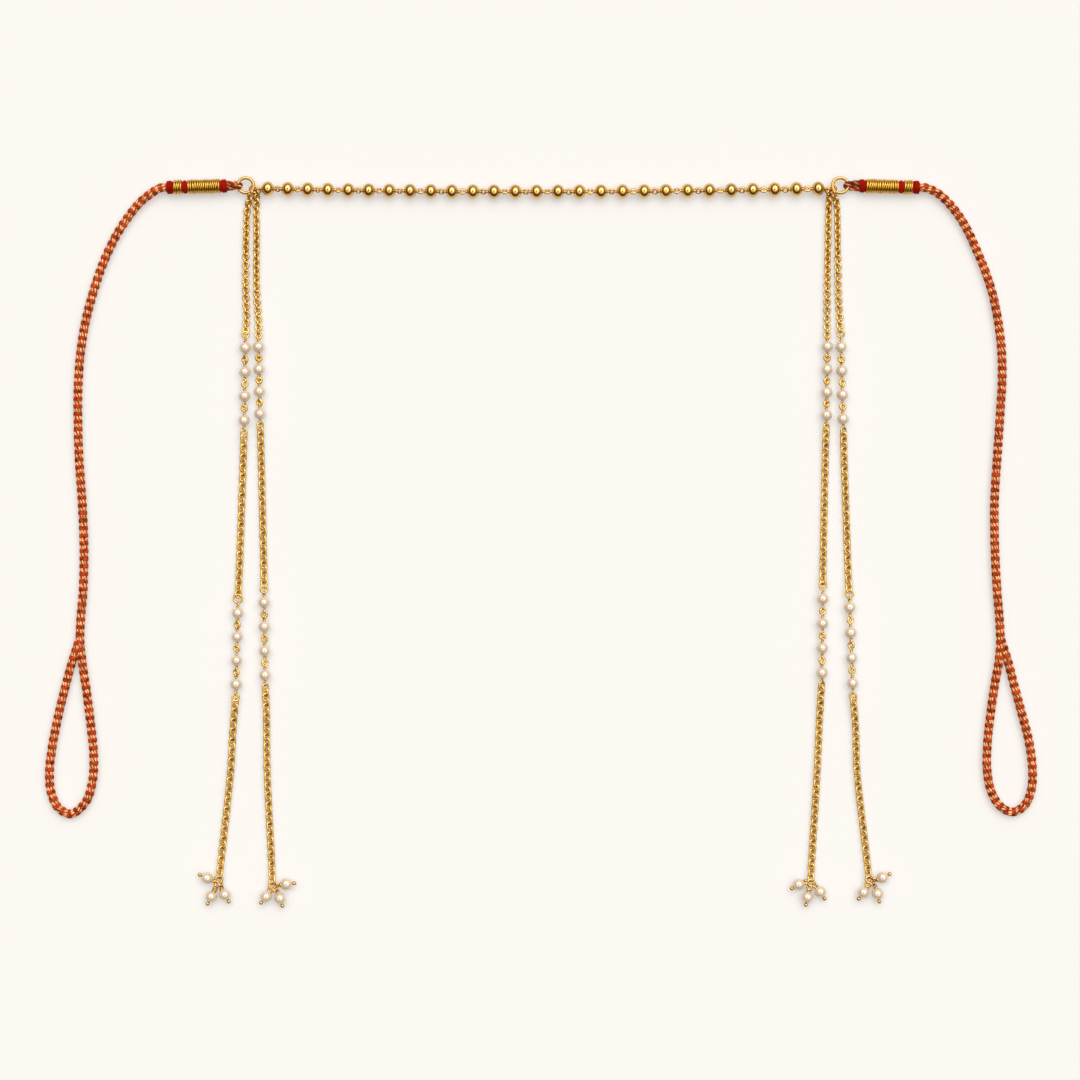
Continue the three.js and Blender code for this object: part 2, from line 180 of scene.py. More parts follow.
# The strands are named and placed as their solids are
STRANDS = (
    {
        "name": "left_outer", "side": -1, "hook": 90, "top": (-107.4, 122.2),
        "upper_via": ((-106.1, 121), (-106.7, 112), (-106.9, 90.6)), "lower_via": (-112.3, -82.2),
        "upper": Row((-107, 69.7), (-107.4, 43.6), 3.1, 3.0),
        "lower": Row((-109.7, -25.6), (-110.3, -51.2), 3.9, 3.2),
        "end": (-116.4, -121.3),
        "drops": (((-120.7, -120.8), 156), ((-119.2, -127.5), 243), ((-114.3, -126.8), 300)),
    },
    {
        "name": "left_inner", "side": -1, "hook": 30, "top": (-102.9, 121),
        "upper_via": ((-103.1, 120.5), (-103, 111), (-103, 90.6)), "lower_via": (-99.2, -82.2),
        "upper": Row((-102.2, 70), (-101.7, 46), 0, 0),
        "lower": Row((-100.2, -21.8), (-99.9, -47.9), 3.3, 0),
        "end": (-97.3, -123.4),
        "drops": (((-92.2, -123), 7), ((-99.5, -127.5), 231), ((-94.5, -128.1), 288)),
    },
    {
        "name": "right_inner", "side": 1, "hook": 30, "top": (102.9, 121),
        "upper_via": ((102.7, 120.5), (102.5, 111), (102.2, 90.6)), "lower_via": (98.6, -82.2),
        "upper": Row((102.1, 70.1), (101.8, 45.5), 0, 0),
        "lower": Row((100.5, -20.5), (100.2, -47.1), 3.3, 0),
        "end": (96.2, -122.4),
        "drops": (((91.8, -123.1), 210), ((95, -127.7), 258), ((99.6, -125.8), 302)),
    },
    {
        "name": "right_outer", "side": 1, "hook": 90, "top": (107.4, 122.2),
        "upper_via": ((105.6, 121), (105.9, 112), (106.2, 90.6)), "lower_via": (112.9, -82.2),
        "upper": Row((107.1, 70), (107.8, 44.2), 3.2, 0),
        "lower": Row((110.2, -23.6), (111.2, -50.8), 3.5, 3.2),
        "end": (117.1, -121.3),
        "drops": (((122, -120.6), 26), ((115.1, -126), 233), ((120.2, -126.5), 283)),
    },
)

WHIPPING_START = 6.7
WHIPPING_TILT = 1.5
WHIPPING_CORE = 4.1
CORE_INSET = 0.15
COLLAR_HEIGHT = 4.8
WINDING_HEIGHT = 5.3
GOLD_WIRE = 0.76
RED_THREAD = 0.34
# Lengths from the end ring outwards, and the winding over each stretch that has one
WHIPPING = ((2.1, None), (12.3, "wire_winding_long"), (1.3, None), (3.8, "wire_winding_short"), (2.2, None))
WHIPPING_END = WHIPPING_START + sum(length for length, _ in WHIPPING)

EYE_BEND = 1.05
EYE_LAY = 7
EYE_STRANDS = 6
CORD_GAP = 0.3
CORD_STRAIGHT = 1.5
CORD_SETTLES = 16
STRANDS_EACH_WAY = 8
STEPS_IN_A_LAY = 48
RUST = {"wide": 1.15, "thick": 0.66, "lift": 0}
CREAM = {"wide": 0.76, "thick": 0.56, "lift": -0.06}
WEAVE = 0.17
# The last points of each route are where the cord's end goes back into its own side
CORD_ROUTES = {
    "left": (
        (-139.4, 126.1), (-145.2, 121.5), (-152.2, 112.1), (-157.6, 101.3), (-161.4, 90.5), (-164.3, 79.7),
        (-166.1, 68.9), (-167, 58.1), (-167.2, 47.3), (-166.8, 31.1), (-165.7, 14.9), (-165, -1.3),
        (-165.3, -17.5), (-166.2, -28.3), (-166.4, -35.5), (-165.7, -42.7), (-164.1, -53.5), (-162.5, -66.1),
        (-161.5, -76.9), (-161.9, -85.9), (-164.3, -93.4), (-169.6, -97.8), (-174.2, -95.6), (-176.8, -90),
        (-177.4, -82.8), (-176.5, -74.3), (-173.8, -60.7), (-171.1, -49.9), (-169.5, -43.9), (-168.2, -40),
        (-167.2, -36.3), (-166.6, -32.5),
    ),
    "right": (
        (139.4, 126.5), (143.2, 124.2), (150.2, 116.1), (157.4, 101.2), (161.2, 90.5), (163.5, 79.7),
        (164.8, 68.9), (165, 58.1), (164.4, 47.3), (163.3, 31.1), (162.3, 14.9), (162.4, -1.3),
        (163.2, -17.5), (164.1, -28.3), (164.4, -35.5), (163.9, -42.7), (162.6, -49.9), (161, -60.7),
        (159.8, -71.5), (159.6, -81.5), (160.9, -89.1), (164.2, -94.9), (168.8, -97.1), (173.2, -94.6),
        (175.6, -88.6), (175.9, -81.5), (174.6, -71.5), (171.8, -60.7), (168.9, -49.9), (167.6, -44.7),
        (166.4, -40.6), (165.2, -36.6), (164.5, -32.5),
    ),
}


# Shapes


class Shape:
    """The points and faces of a modelled shape, for copying."""

    def __init__(self, points, faces, uvs=None):
        self.points = points
        self.faces = faces
        self.uvs = uvs

    @classmethod
    def taken_from(cls, obj):
        """Takes the shape out of an object and removes the object."""
        select_none()
        mesh = obj.data
        points = np.empty(len(mesh.vertices) * 3)
        mesh.vertices.foreach_get("co", points)
        faces = [tuple(face.vertices) for face in mesh.polygons]
        bpy.data.objects.remove(obj)
        bpy.data.meshes.remove(mesh)
        return cls(points.reshape(-1, 3), faces)


class Assembly:
    """Copies shapes to their places and joins the copies, each with its own tone, into one piece."""

    def __init__(self, name, finishes, seed):
        self.name = name
        self.finishes = finishes
        self.random = np.random.default_rng(seed)
        self.points, self.faces, self.slots, self.tones, self.uvs = [], [], [], [], []
        self.count = 0

    def add(self, shape, at=Matrix(), slot=0):
        at = np.array(at)
        points = shape.points @ at[:3, :3].T + at[:3, 3]
        self.points.append(points)
        self.faces += [tuple(i + self.count for i in face) for face in shape.faces]
        self.slots += [slot] * len(shape.faces)
        self.tones.append(np.full(len(points), self.random.random()))
        if shape.uvs is not None:
            self.uvs.append(shape.uvs)
        self.count += len(points)

    def build(self, slot, *replaces):
        mesh = bpy.data.meshes.new(self.name)
        mesh.from_pydata(np.concatenate(self.points).tolist(), [], self.faces)
        for name in self.finishes:
            mesh.materials.append(finish(name))
        mesh.polygons.foreach_set("material_index", self.slots)
        tone = mesh.attributes.new("tone", "FLOAT", "POINT")
        tone.data.foreach_set("value", np.concatenate(self.tones))
        if self.uvs:
            mesh.uv_layers.new(name="strand").data.foreach_set("uv", np.concatenate(self.uvs).ravel())
        obj = bpy.data.objects.new(self.name, mesh)
        bpy.context.collection.objects.link(obj)
        select_only(obj)
        bpy.ops.object.shade_smooth_by_angle(angle=math.radians(80))
        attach(obj, "root")
        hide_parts(*replaces)
        return obj


def select_none():
    active = bpy.context.view_layer.objects.active
    if active and active.mode != "OBJECT":
        bpy.ops.object.mode_set(mode="OBJECT")
    bpy.ops.object.select_all(action="DESELECT")


def select_only(obj):
    select_none()
    obj.select_set(True)
    bpy.context.view_layer.objects.active = obj


def choose(obj, test, kind="FACE"):
    """Opens an object in edit mode with only the faces or points that pass the test selected."""
    select_only(obj)
    bpy.ops.object.mode_set(mode="EDIT")
    bpy.ops.mesh.select_mode(type=kind)
    bpy.ops.mesh.select_all(action="DESELECT")
    bpy.ops.object.mode_set(mode="OBJECT")
    for part in obj.data.polygons if kind == "FACE" else obj.data.vertices:
        part.select = test(part.center if kind == "FACE" else part.co)
    bpy.ops.object.mode_set(mode="EDIT")


def model_ring(ring, segments=14, sides=6, pinch=0.88, straight=0.0):
    """A ring of bent wire in the XY plane, pinched where its ends meet, with a straight part along X."""
    outside, wire = ring.outside * MM, ring.wire * MM
    radius = (outside - wire) / 2
    select_none()
    bpy.ops.mesh.primitive_torus_add(
        major_radius=radius, minor_radius=wire / 2, major_segments=segments, minor_segments=sides
    )
    bent = bpy.context.object
    joint = Vector((0, radius, 0))
    choose(bent, lambda p: (p - joint).length < wire * 0.55, "VERT")
    bpy.ops.transform.resize(value=(1, pinch, pinch), center_override=joint)
    for end in (1, -1):
        choose(bent, lambda p, end=end: p.x * end > 0.01 * MM, "VERT")
        bpy.ops.transform.translate(value=(end * straight * MM / 2, 0, 0))
    return Shape.taken_from(bent)


def model_bead(diameter, hole, segments, rings, collar=0.0):
    """A bead with its hole along Z. The hole is drilled in, or has a collar that stands out."""
    select_none()
    bpy.ops.mesh.primitive_uv_sphere_add(segments=segments, ring_count=rings, radius=diameter / 2)
    bead = bpy.context.object
    cap = diameter / 2 * math.cos(math.pi / rings * 0.9)
    for end in (1, -1):
        choose(bead, lambda centre, end=end: centre.z * end > cap)
        bpy.ops.mesh.dissolve_faces()
        shrink = hole / (diameter * math.sin(math.pi / rings))
        bpy.ops.mesh.inset(thickness=0)
        bpy.ops.transform.resize(value=(shrink, shrink, 1), center_override=(0, 0, end * cap))
        bpy.ops.transform.translate(value=(0, 0, end * collar))
        bpy.ops.mesh.inset(thickness=hole * 0.18)
        bpy.ops.transform.translate(value=(0, 0, -end * hole * 0.4))
    return Shape.taken_from(bead)


def model_winding(radius, wire, length, steps=24, sides=6, slant=0.0):
    """Wire wound close round X, its turns a little uneven and aslant. Its sizes are in millimetres."""
    radius, wire, length = radius * MM, wire * MM, length * MM
    turns = max(1, round(length / wire) - 1)
    select_none()
    bpy.ops.mesh.primitive_circle_add(
        vertices=sides, radius=wire / 2, location=(radius - wire / 2, 0, 0), rotation=(math.pi / 2, 0, 0)
    )
    section = bpy.context.object
    bpy.ops.object.transform_apply()
    turned = section.modifiers.new("turns", "SCREW")
    turned.screw_offset = (length - wire) / turns
    turned.iterations = turns
    turned.steps = turned.render_steps = steps
    bpy.ops.object.modifier_apply(modifier=turned.name)
    choose(section, lambda p: True, "VERT")
    bpy.ops.mesh.fill_holes(sides=0)
    bpy.ops.mesh.select_all(action="SELECT")
    bpy.ops.mesh.normals_make_consistent()
    bpy.ops.transform.translate(value=(0, 0, wire / 2))
    shape = Shape.taken_from(section)
    points = shape.points
    around = np.arctan2(points[:, 1], points[:, 0])
    turn = points[:, 2] / wire
    edge = np.clip(np.minimum(points[:, 2], length - points[:, 2]) / (2 * wire), 0, 1)
    points[:, 2] += 0.22 * wire * edge * np.sin(around * 2 + turn * 0.7) * np.sin(turn * 0.37)
    points[:, 2] += slant * edge * points[:, 1] * (1 + 0.5 * np.sin(turn * 0.8))
    swell = 1 + 0.03 * np.sin(turn * 2.3 + np.sin(turn * 0.9) * 2) * edge
    points[:, :2] *= swell[:, None]
    shape.points = points[:, [2, 1, 0]] * (1, 1, -1)
    return shape


def model_core(diameter, length):
    """A round core along X, its ends drawn in."""
    select_none()
    bpy.ops.mesh.primitive_cylinder_add(vertices=24, radius=diameter / 2, depth=length)
    core = bpy.context.object
    for end in (1, -1):
        choose(core, lambda centre, end=end: centre.z * end > length * 0.49)
        bpy.ops.mesh.inset(thickness=diameter * 0.12)
        bpy.ops.transform.translate(value=(0, 0, end * diameter * 0.03))
    shape = Shape.taken_from(core)
    shape.points = (shape.points + (0, 0, length / 2))[:, [2, 0, 1]]
    return shape


def unit(vectors):
    return vectors / np.linalg.norm(vectors, axis=1)[:, None]


def distances(points):
    """How far along its line each point lies."""
    return np.concatenate([[0], np.cumsum(np.linalg.norm(np.diff(points, axis=0), axis=1))])


def swept(centres, outwards, width, thickness, sides=6):
    """A closed strand of oval section along its centres, flat side outwards, with UVs in turns and mm."""
    along = unit(np.gradient(centres, axis=0))
    across = unit(np.cross(along, outwards))
    outwards = np.cross(across, along)
    angles = np.arange(sides) * 2 * np.pi / sides
    count = len(centres)
    half_width = np.full(count, width) / 2
    half_thickness = np.full(count, thickness) / 2
    rings = (
        centres[:, None]
        + across[:, None] * (half_width[:, None] * np.cos(angles))[:, :, None]
        + outwards[:, None] * (half_thickness[:, None] * np.sin(angles))[:, :, None]
    )
    step = np.arange(count - 1)[:, None] * sides
    i = np.arange(sides)[None, :]
    j = (i + 1) % sides
    quads = np.stack([step + i, step + j, step + sides + j, step + sides + i], axis=-1).reshape(-1, 4)
    faces = [tuple(quad) for quad in quads.tolist()]
    faces += [tuple(reversed(range(sides))), tuple(range((count - 1) * sides, count * sides))]
    gone = distances(centres)[:, None] / MM
    left, right, start, end = np.broadcast_arrays(i / sides, i / sides + 1 / sides, gone[:-1], gone[1:])
    uvs = np.stack([left, start, right, start, right, end, left, end], axis=-1).reshape(-1, 2)
    uvs = np.concatenate([uvs, np.zeros((2 * sides, 2))])
    return Shape(rings.reshape(-1, 3), faces, uvs)


# Places


def place(centre, x, z):
    """A matrix that puts a shape at a centre with its Z one way and its X as near as it goes to x."""
    z = z.normalized()
    x = (x - z * x.dot(z)).normalized()
    y = z.cross(x)
    matrix = Matrix((x, y, z)).transposed().to_4x4()
    matrix.translation = centre
    return matrix


def aim(first, second, angle):
    """The direction that lies an angle on from the first towards the second."""
    return first * math.cos(angle) + second * math.sin(angle)


def on_surface(point, z):
    return Vector((point[0] * MM, point[1] * MM, z))


def smooth_route(points, spacing):
    """An even row of points along the smooth curve through the given points."""
    p = np.array([list(point) for point in points])
    p = np.vstack([2 * p[0] - p[1], p, 2 * p[-1] - p[-2]])
    knots = np.concatenate([[0], np.cumsum(np.sqrt(np.linalg.norm(np.diff(p, axis=0), axis=1)))])
    dense = []
    for k in range(1, len(p) - 2):
        t = np.linspace(knots[k], knots[k + 1], 40, endpoint=False)[:, None]
        blends = p[k - 1 : k + 3]
        for first, wide in ((k - 1, 1), (k - 1, 2), (k, 1)):
            starts = knots[first : first + len(blends) - 1]
            ends = knots[first + wide : first + wide + len(blends) - 1]
            blends = [
                (end - t) / (end - start) * before + (t - start) / (end - start) * after
                for start, end, before, after in zip(starts, ends, blends, blends[1:])
            ]
        dense.append(blends[0])
    dense = np.concatenate(dense + [p[-2:-1]])
    return evenly(dense, spacing)


def evenly(points, spacing):
    gone = distances(points)
    count = max(1, round(gone[-1] / spacing))
    at = np.linspace(0, gone[-1], count + 1)
    return np.stack([np.interp(at, gone, points[:, axis]) for axis in range(3)], axis=1)


def ball_centre(i, radius):
    """The string sags a little and has slipped to the left."""
    half = (BALLS - 1) / 2
    t = (i - half) / half
    slip = BAND_SLIP * (1 - t * t) * (1 - BAND_SLIP_SKEW * t)
    return on_surface((half * t * BALL_PITCH - slip, BAND_END_Y - BAND_SAG * (1 - t * t)), radius)


def end_ring_centre(side):
    x, y, z = END_RING_PLACE
    return Vector((side * x, y, z)) * MM


class Joint:
    """The joining ring at one end of the band, which holds the string's end link and two chains."""

    def __init__(self, side):
        turn = math.radians(JOINING_TURN)
        self.outwards = Vector((-side * math.cos(turn), math.sin(turn), 0))
        sideways = Vector((side * math.sin(turn), math.cos(turn), 0))
        self.raised = aim(UP, -sideways, math.radians(JOINING_LEAN))
        self.normal = self.outwards.cross(self.raised)
        self.centre = end_ring_centre(side) + self.outwards * JOINING_REACH * MM
        self.centre.z += JOINING_LIFT * MM
        self.radius = (JOINING_RING.outside - JOINING_RING.wire) / 2 * MM
        self.outermost = math.atan2(self.raised.x, self.outwards.x) + (0 if side < 0 else math.pi)

    def point_at(self, angle):
        return self.centre + aim(self.outwards, self.raised, angle) * self.radius

    def tangent_at(self, angle):
        return aim(self.raised, -self.outwards, angle)


def hook_link(strand):
    """Centre, direction and normal of a chain's first link."""
    joint = Joint(strand["side"])
    angle = math.radians(strand["hook"])
    held = joint.point_at(angle)
    towards = (on_surface(strand["top"], CHAIN_Z * MM) - held).normalized()
    reach = HOOK_LINK.outside / 2 - HOOK_LINK.wire - JOINING_RING.wire / 2 - HOOK_GAP
    return held + towards * reach * MM, towards, joint.tangent_at(angle)


def whipping_place(side, out=0):
    """A frame on a bound end, its X outwards, at a distance out from the middle of the end ring."""
    centre = end_ring_centre(side)
    centre.z = WINDING_HEIGHT / 2 * MM
    turn = (math.pi if side < 0 else 0) - side * math.radians(WHIPPING_TILT)
    return Matrix.Translation(centre) @ Matrix.Rotation(turn, 4, "Z") @ Matrix.Translation((out * MM, 0, 0))


# Materials

# Painted shade where a strand turns down beside its neighbours; the same darker colour also makes its random
# patches
RUST_PAINTED_SHADE_AND_PATCH = (0.09, 0.004, 0.001)
CREAM_PAINTED_SHADE_AND_PATCH = (0.42, 0.12, 0.02)


class Value:
    """A socket that takes part in sums. Each sum adds a Math node."""

    def __init__(self, shader, socket):
        self.shader = shader
        self.socket = socket

    def math(self, operation, other=0.0, flipped=False):
        first, second = (other, self) if flipped else (self, other)
        return self.shader.node("ShaderNodeMath", {"operation": operation}, {0: first, 1: second})

    def __add__(self, other):
        return self.math("ADD", other)

    def __sub__(self, other):
        return self.math("SUBTRACT", other)

    def __rsub__(self, other):
        return self.math("SUBTRACT", other, flipped=True)

    def __mul__(self, other):
        return self.math("MULTIPLY", other)

    __radd__ = __add__
    __rmul__ = __mul__


class Shader:
    """The nodes of a material or a world, built up one by one."""

    def __init__(self, tree):
        self.nodes = tree.nodes
        self.links = tree.links
        self.surface = self.nodes.get("Principled BSDF")

    def node(self, kind, settings=None, sockets=None, output=0):
        made = self.nodes.new(kind)
        for key, value in (settings or {}).items():
            if key != "stops":
                setattr(made, key, value)
                continue
            elements = made.color_ramp.elements
            while len(elements) < len(value):
                elements.new(1)
            for element, (position, shade) in zip(elements, value):
                element.position = position
                element.color = (*shade, 1)
        for key, value in (sockets or {}).items():
            self.put(made.inputs[key], value)
        return Value(self, made.outputs[output])

    def put(self, socket, value):
        if isinstance(value, Value):
            self.links.new(value.socket, socket)
        elif socket.type == "RGBA" and len(value) == 3:
            socket.default_value = (*value, 1)
        else:
            socket.default_value = value

    def set(self, **values):
        for key, value in values.items():
            self.put(self.surface.inputs[key.replace("_", " ").title().replace("Ior", "IOR")], value)

    def ramp(self, value, between, heights):
        """Turns a value smoothly from one height to another between two places."""
        sockets = {0: value, 1: between[0], 2: between[1], 3: heights[0], 4: heights[1]}
        return self.node("ShaderNodeMapRange", {"interpolation_type": "SMOOTHSTEP"}, sockets)

    def noise(self, scale, detail):
        sockets = {"Vector": self.node("ShaderNodeTexCoord", output=3), "Scale": scale, "Detail": detail}
        return self.node("ShaderNodeTexNoise", sockets=sockets)

    def tone(self):
        return self.node("ShaderNodeAttribute", {"attribute_name": "tone"}, output=2)

    def mix(self, factor, first, second):
        sockets = {0: factor, 6: first, 7: second}
        return self.node("ShaderNodeMix", {"data_type": "RGBA"}, sockets, output=2)

    def bump(self, height, distance, strength):
        sockets = {"Height": height, "Distance": distance, "Strength": strength}
        self.set(normal=self.node("ShaderNodeBump", sockets=sockets))


def gold_material(shader, bright, dull, roughness, coat):
    smudge = shader.noise(420, 4)
    scratch = shader.noise(3800, 2)
    wear = smudge * 0.9 + shader.tone() * 0.5 - 0.45
    shader.set(
        base_color=shader.mix(wear, bright, dull),
        metallic=1.0,
        roughness=smudge * 0.14 + scratch * 0.05 + (roughness - 0.09),
        coat_weight=coat,
        coat_ior=2.1,
        coat_roughness=0.1,
    )
    shader.bump(scratch, 0.00002, 0.5)


def pearl_material(shader, face, edge):
    # Painted shade in part: the base colour darkens towards the rim as the surface turns from the eye; the
    # pinker tint there is the nacre's own
    facing = shader.node("ShaderNodeLayerWeight", sockets={"Blend": 0.42}, output=1)
    cloud = shader.noise(260, 2)
    turned = facing + cloud * 0.24 + shader.tone() * 0.14 - 0.18
    blush = tuple(0.62 * a + 0.38 * b for a, b in zip(face, edge))
    rosy = (blush[0], blush[1] * 0.95, blush[2] * 0.93)
    stops = ((0.0, face), (0.45, face), (0.72, rosy), (1.0, edge))
    shader.set(
        base_color=shader.node("ShaderNodeValToRGB", {"stops": stops}, {"Fac": turned}),
        roughness=cloud * 0.14 + 0.16,
        coat_weight=1.0,
        coat_roughness=0.03,
        coat_ior=2.4,
        specular_ior_level=0.6,
    )
    shader.bump(shader.noise(620, 2), 0.00003, 0.06)


def thread_material(shader, shade):
    """Spun thread: fine fibres, darker and lighter at random."""
    fibre = shader.noise(5200, 2)
    patch = shader.noise(500, 2)
    dark = tuple(c * 0.45 for c in shade)
    shader.set(
        base_color=shader.mix(fibre * 0.6 + patch * 0.6 - 0.1, dark, shade),
        roughness=fibre * 0.2 + 0.45,
        specular_ior_level=0.07,
    )
    shader.bump(fibre, 0.00005, 0.7)


def strand_material(shader, ridge_shade, painted_shade_and_patch, roughness, specular):
    """A braided strand, its fibres slanting round it, with painted shade: lighter on its ridge and darker
    where it turns down, mixed with random patches.
    """
    map_point = shader.node("ShaderNodeUVMap", {"uv_map": "strand"})
    around, along = (shader.node("ShaderNodeSeparateXYZ", None, {0: map_point}, axis) for axis in (0, 1))
    painted_groove_shade_mask = (around * (2 * math.pi)).math("SINE")
    fibres = ((around + along * 0.9) * (2 * math.pi * 5)).math("SINE") * 0.5 + 0.5
    fleck = shader.noise(2600, 3)
    patch = shader.noise(820, 2)
    # Painted shade: darker where the strand turns down and lighter on its ridge; fleck, patch and tone vary
    # it at random
    bright = shader.ramp(painted_groove_shade_mask, (0.1, 1.0), (0, 1)) * 0.6 + fibres * 0.15 + fleck * 0.6 + patch * 3.0
    shader.set(
        base_color=shader.mix(bright + shader.tone() * 0.2 - 1.84, painted_shade_and_patch, ridge_shade),
        roughness=fleck * 0.25 + roughness,
        specular_ior_level=specular,
    )
    shader.bump(fibres, 0.00006, 0.6)


def ground_material(shader, shade):
    """Pale ground that glows a little, as a lit table does, so that shadows on it stay faint."""
    half = tuple(0.5 * c for c in shade)
    shader.set(base_color=half, roughness=0.9, specular_ior_level=0.1)
    shader.set(emission_color=half, emission_strength=0.84)


FINISHES = {
    "polished_gold": (gold_material, "gold", "old_gold", 0.2, 0.85),
    "chain_gold": (gold_material, "chain_gold", "old_gold", 0.22, 0.6),
    "wound_gold": (gold_material, "wound_gold", "old_gold", 0.27, 0.25),
    "lustrous_pearl": (pearl_material, "pearl", "pearl_edge"),
    "red_thread": (thread_material, "thread"),
    "rust_strand": (strand_material, "rust", RUST_PAINTED_SHADE_AND_PATCH, 0.45, 0.18),
    "cream_strand": (strand_material, "cream", CREAM_PAINTED_SHADE_AND_PATCH, 0.32, 0.5),
    "pale_ground": (ground_material, "ground"),
}


def finish(name):
    """A finish is made once and shared. The words in its row name colours of the scene."""
    material = bpy.data.materials.get(name)
    if material is None:
        material = bpy.data.materials.new(name)
        material.use_nodes = True
        colours = bpy.context.scene.band_colours
        maker, *values = FINISHES[name]
        values = [tuple(getattr(colours, value)) if isinstance(value, str) else value for value in values]
        maker(Shader(material.node_tree), *values)
    return material


# Pieces


def add_link(string, link, i, sizes):
    start, end = ball_centre(i, sizes.ball / 2), ball_centre(i + 1, sizes.ball / 2)
    lean = (BAND_LINK_LEAN if i % 2 else -BAND_LINK_LEAN) * string.random.uniform(0.4, 1.4)
    turned = place((start + end) / 2, end - start, aim(UP, ALONG_Y, lean))
    gap = (end - start).length - sizes.ball * BALL_LENGTH - 0.1 * MM
    stretch = max(0.94, gap / (BAND_LINK.outside * MM))
    string.add(link, turned @ Matrix.Diagonal((stretch, BAND_LINK_WIDTH / BAND_LINK.outside, 1, 1)))


def add_end_link(string, sizes, side):
    joint = Joint(side)
    ball = ball_centre(0 if side < 0 else BALLS - 1, sizes.ball / 2)
    towards = (joint.point_at(joint.outermost) - ball).normalized()
    reach = (BAND_END_LINK.outside / 2 - BAND_END_LINK_IN) * MM
    centre = ball + towards * (sizes.ball * BALL_LENGTH / 2 + reach)
    string.add(model_ring(BAND_END_LINK), place(centre, towards, joint.tangent_at(joint.outermost)))


class FOREHEAD_OT_string_of_balls(bpy.types.Operator):
    """Gold balls with a wire eye at each side, joined by small rings"""

    bl_idname = "forehead.string_of_balls"
    bl_label = "String of gold balls"

    def execute(self, context):
        sizes = context.scene.band_sizes
        ball = model_bead(sizes.ball, BALL_HOLE * MM, 24, 16, collar=BALL_COLLAR * MM)
        eye = model_ring(BALL_EYE, 12)
        link = model_ring(BAND_LINK)
        middle = BALLS // 2
        eye_out = sizes.ball * BALL_LENGTH / 2 + BALL_EYE_OUT * MM
        for name, first, last in (("left", 0, middle), ("right", middle + 1, BALLS - 1)):
            string = Assembly(f"ball_string_{name}", ["polished_gold"], first + 3)
            for i in range(first, last + 1):
                centre = ball_centre(i, sizes.ball / 2)
                along = (ball_centre(i + 0.5, 0) - ball_centre(i - 0.5, 0)).normalized()
                string.add(ball, place(centre, UP, along) @ Matrix.Diagonal((1, 1, BALL_LENGTH, 1)))
                for end in (-1, 1):
                    string.add(eye, place(centre + along * end * eye_out, along, ALONG_Y))
            for i in range(first, last + (name == "left")):
                add_link(string, link, i, sizes)
            add_end_link(string, sizes, -1 if name == "left" else 1)
            string.build("gold", f"band_{name}")
        return {"FINISHED"}


def add_ring(ring, at, name, seed, replaces):
    piece = Assembly(name, ["polished_gold"], seed)
    piece.add(ring, at)
    piece.build("gold", replaces)


class FOREHEAD_OT_end_joints(bpy.types.Operator):
    """End rings, joining rings and the first link of each chain"""

    bl_idname = "forehead.end_joints"
    bl_label = "End rings and joints"

    def execute(self, context):
        end_ring = model_ring(END_RING, 40, 12, pinch=0.93, straight=0.3)
        joining = model_ring(JOINING_RING, 28, 10)
        first = model_ring(HOOK_LINK, 18, 8)
        for name, side in SIDES:
            at = place(end_ring_centre(side), ALONG_X, UP)
            add_ring(end_ring, at, f"gold_end_ring_{name}", 5 + side, f"end_ring_{name}")
            joint = Joint(side)
            at = place(joint.centre, joint.outwards, joint.normal)
            add_ring(joining, at, f"gold_joining_ring_{name}", 8 + side, f"joining_ring_{name}")
        for strand in STRANDS:
            name = strand["name"]
            add_ring(first, place(*hook_link(strand)), f"{name}_first_link", 21, f"{name}_hook_link")
        return {"FINISHED"}


def smooth_step(t):
    t = min(1, max(0, t))
    return t * t * (3 - 2 * t)


def row_ends(row, sizes):
    """Where the chains above and below a row of pearls begin and end."""
    first, last = (on_surface(pearl, sizes.pearl / 2) for pearl in (row.first, row.last))
    upwards = (first - last).normalized()
    above, below = (
        sizes.pearl / 2 + (ROW_RING_NECK + ring / 2 if ring else BARE_ROW_NECK) * MM
        for ring in (row.ring, row.foot)
    )
    return first + upwards * above, last - upwards * below


def add_links(chain, link, start, end, between, pitch, turned, sizes):
    """Links lean both ways in turn. A slack chain turns over until every second link lies flat."""
    length = (end - start).length
    if turned is None:
        settled = start.lerp(end, CHAIN_SETTLES * MM / length)
        settled.z = CHAIN_Z * MM
        between = [settled, *between]
    rising = end.lerp(start, CHAIN_SETTLES * MM / 2 / length)
    rising.z = CHAIN_Z * MM
    route = smooth_route([start, *between, rising, end], pitch)
    count = len(route)
    slack = np.convolve(chain.random.normal(0, 0.5, count + 10), np.ones(11) / 11, mode="valid")
    lean = math.radians(CHAIN_LEAN if turned is None else SLACK_LEAN)
    for i in range(1, count - 1):
        along = Vector(route[i + 1] - route[i - 1]).normalized()
        across = UP.cross(along).normalized()
        turn = (lean if i % 2 else -lean) + chain.random.normal(0, 0.04) + slack[i] * 0.4
        if turned is not None:
            turn += slack[i] * 1.2 + TURNED_OVER * smooth_step((i / count - turned) / 0.3)
        centre = Vector(route[i])
        stands = (sizes.chain_link - sizes.chain_wire) / 2 * abs(math.sin(turn)) + sizes.chain_wire / 2
        centre.z = max(centre.z, stands + 0.02 * MM)
        chain.add(link, place(centre, along, aim(along.cross(across), across, turn)))


